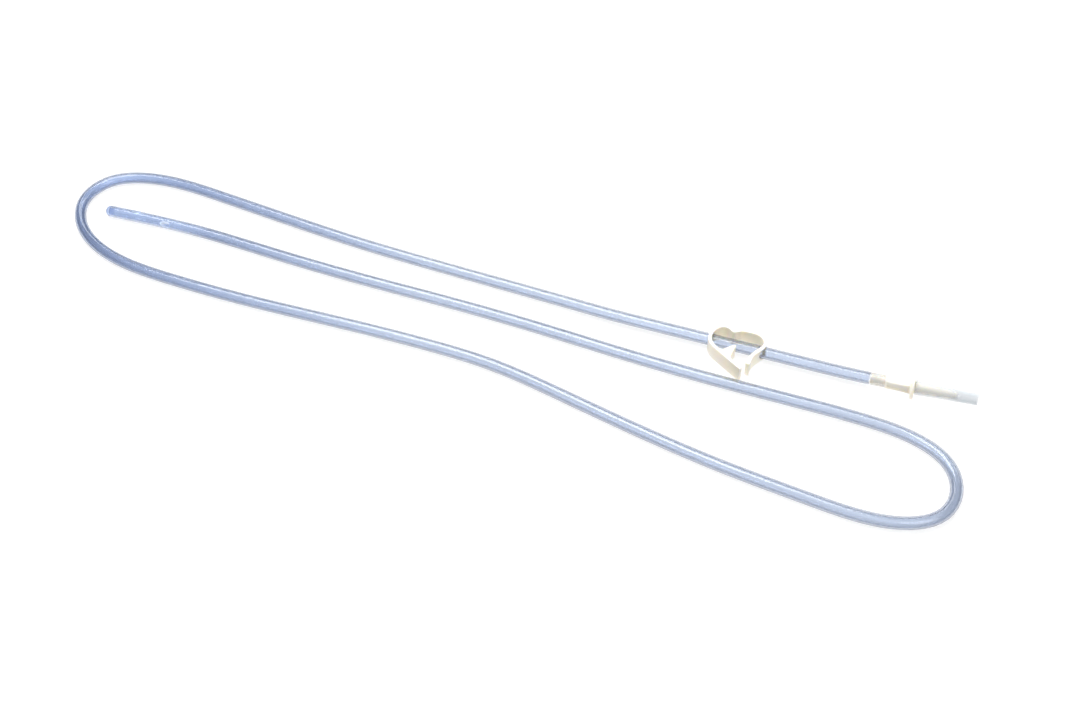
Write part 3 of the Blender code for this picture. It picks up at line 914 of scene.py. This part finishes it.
def grip_block(grip_length):
    """The square, tapered finger grip with a framed recess in each side."""
    start, end = GRIP_START / 2, GRIP_START + grip_length + GRIP_OVERLAP
    small, large = GRIP_WIDTHS
    deselect_all()
    bpy.ops.mesh.primitive_cube_add(size=1, location=((start + end) / 2, 0, 0))
    grip = named("grip_block")
    grip.scale = (end - start, small, small)
    settle(grip)
    edit(grip)
    bpy.ops.mesh.select_mode(type="FACE")
    select_faces(grip, lambda centre, normal: normal.x > 0.9)
    bpy.ops.transform.resize(value=(1, large / small, large / small), center_override=(end, 0, 0))
    bpy.ops.mesh.select_mode(type="EDGE")
    mesh = bmesh.from_edit_mesh(grip.data)
    for edge in mesh.edges:
        way = (edge.verts[1].co - edge.verts[0].co).normalized()
        edge.select_set(abs(way.x) > 0.9)
    bmesh.update_edit_mesh(grip.data)
    bpy.ops.mesh.bevel(offset=GRIP_ROUNDING, segments=5, affect="EDGES")
    bpy.ops.mesh.select_mode(type="FACE")
    for side in (1, -1):
        select_faces(grip, lambda centre, normal: normal.y * side > 0.99)
        bpy.ops.mesh.inset(thickness=GRIP_FRAME, depth=0)
        bpy.ops.mesh.inset(thickness=GRIP_RECESS_SLOPE, depth=-GRIP_RECESS)
    close_edit()
    return grip


# The cap


class MESH_OT_spike_cap(bpy.types.Operator):
    """Turn the thin tapered cap over the spike, open at the flange and closed at its far end"""

    bl_idname = "mesh.spike_cap"
    bl_label = "Spike Cap"

    def execute(self, context):
        cap, spike = context.scene.spike_cap, context.scene.spike_connector
        start = GRIP_START + spike.grip_length + FLANGE_THICKNESS + SEAT_GAP
        end = start + cap.cap_length
        end_radius = CAP_MOUTH_RADIUS - CAP_TAPER
        depth = cap.cap_length - CAP_END_THICKNESS
        inside = CAP_MOUTH_RADIUS - CAP_TAPER * depth / cap.cap_length - cap.wall
        profile = [
            (end, end_radius - CAP_CHAMFER), (end - CAP_CHAMFER, end_radius), (start, CAP_MOUTH_RADIUS),
            (start, CAP_MOUTH_RADIUS - cap.wall), (start + depth, inside),
        ]
        sheath = turned("spike_sheath", profile, ROUND_SIDES)
        soften(sheath, 0.12 * MM, segments=2)
        seat_on_connector(sheath, context.scene)
        shade(sheath, frosted_finish(cap))
        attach(sheath, "cap")
        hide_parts("spike_cap")
        return {"FINISHED"}


# The stage


class SCENE_OT_flushing_stage(bpy.types.Operator):
    """Set the camera at the photograph's angle, a plain pale floor and soft studio light"""

    bl_idname = "scene.flushing_stage"
    bl_label = "Stage"

    def execute(self, context):
        stage = context.scene.flushing_stage
        deselect_all()
        turn = Vector(CAMERA_WAY).to_track_quat("-Z", "Y").to_euler()
        bpy.ops.object.camera_add(location=CAMERA_PLACE, rotation=turn)
        camera = context.object
        camera.data.sensor_width, camera.data.sensor_fit = CAMERA_SENSOR, "HORIZONTAL"
        camera.data.lens = CAMERA_LENS
        camera.data.clip_start, camera.data.clip_end = CAMERA_CLIP
        context.scene.camera = camera
        deselect_all()
        bpy.ops.mesh.primitive_plane_add(size=stage.floor_size)
        floor = named("pale_floor")
        shade(floor, floor_finish(stage))
        lights = (
            ("key_light", (-0.4, 0.25, 1.5), (1.0, 1.1), stage.key_power, (1.0, 0.985, 0.96)),
            ("back_strip", (-0.2, 1.3, 1.0), (2.6, 0.4), stage.back_power, (0.98, 0.99, 1.0)),
            ("side_light", (1.0, -0.5, 0.9), (0.8, 0.8), stage.side_power, (1.0, 0.975, 0.94)),
        )
        for name, place, size, power, tone in lights:
            aim = (Vector((0, 0, 0)) - Vector(place)).to_track_quat("-Z", "Y").to_euler()
            bpy.ops.object.light_add(type="AREA", location=place, rotation=aim)
            light = context.object
            light.name = name
            light.data.shape, light.data.size, light.data.size_y = "RECTANGLE", *size
            light.data.energy, light.data.color = power, tone
        world = bpy.data.worlds.new("studio")
        world.use_nodes = True
        sky = world.node_tree.nodes["Background"]
        sky.inputs["Color"].default_value = (0.93, 0.96, 1.0, 1.0)
        sky.inputs["Strength"].default_value = stage.sky
        context.scene.world = world
        context.scene.view_settings.view_transform = "Standard"
        return {"FINISHED"}


class VIEW3D_PT_flushing_tube(bpy.types.Panel):
    """Sizes, colours and buttons for each piece"""

    bl_label = "Flushing Tube"
    bl_idname = "VIEW3D_PT_flushing_tube"
    bl_space_type = "VIEW_3D"
    bl_region_type = "UI"
    bl_category = "Flushing Tube"

    def draw(self, context):
        for attribute, (settings, operator) in PIECES.items():
            box = self.layout.box()
            box.operator(operator)
            for name in settings.__annotations__:
                box.prop(getattr(context.scene, attribute), name)


PIECES = {
    "flushing_stage": (StageSettings, "scene.flushing_stage"),
    "flushing_tube": (TubeSettings, "mesh.flushing_tube"),
    "pinch_clamp": (ClampSettings, "mesh.heart_clamp"),
    "spike_connector": (ConnectorSettings, "mesh.spike_connector"),
    "spike_cap": (CapSettings, "mesh.spike_cap"),
}
CLASSES = (
    *(settings for settings, _ in PIECES.values()),
    MESH_OT_flushing_tube,
    MESH_OT_heart_clamp,
    MESH_OT_spike_connector,
    MESH_OT_spike_cap,
    SCENE_OT_flushing_stage,
    VIEW3D_PT_flushing_tube,
)


def register():
    for each in CLASSES:
        bpy.utils.register_class(each)
    for attribute, (settings, _) in PIECES.items():
        setattr(bpy.types.Scene, attribute, PointerProperty(type=settings))


def unregister():
    for attribute in PIECES:
        delattr(bpy.types.Scene, attribute)
    for each in reversed(CLASSES):
        bpy.utils.unregister_class(each)


def main():
    register()
    bpy.ops.scene.flushing_stage()
    bpy.ops.mesh.flushing_tube()
    bpy.ops.mesh.heart_clamp()
    bpy.ops.mesh.spike_connector()
    bpy.ops.mesh.spike_cap()


if __name__ == "__main__":
    main()
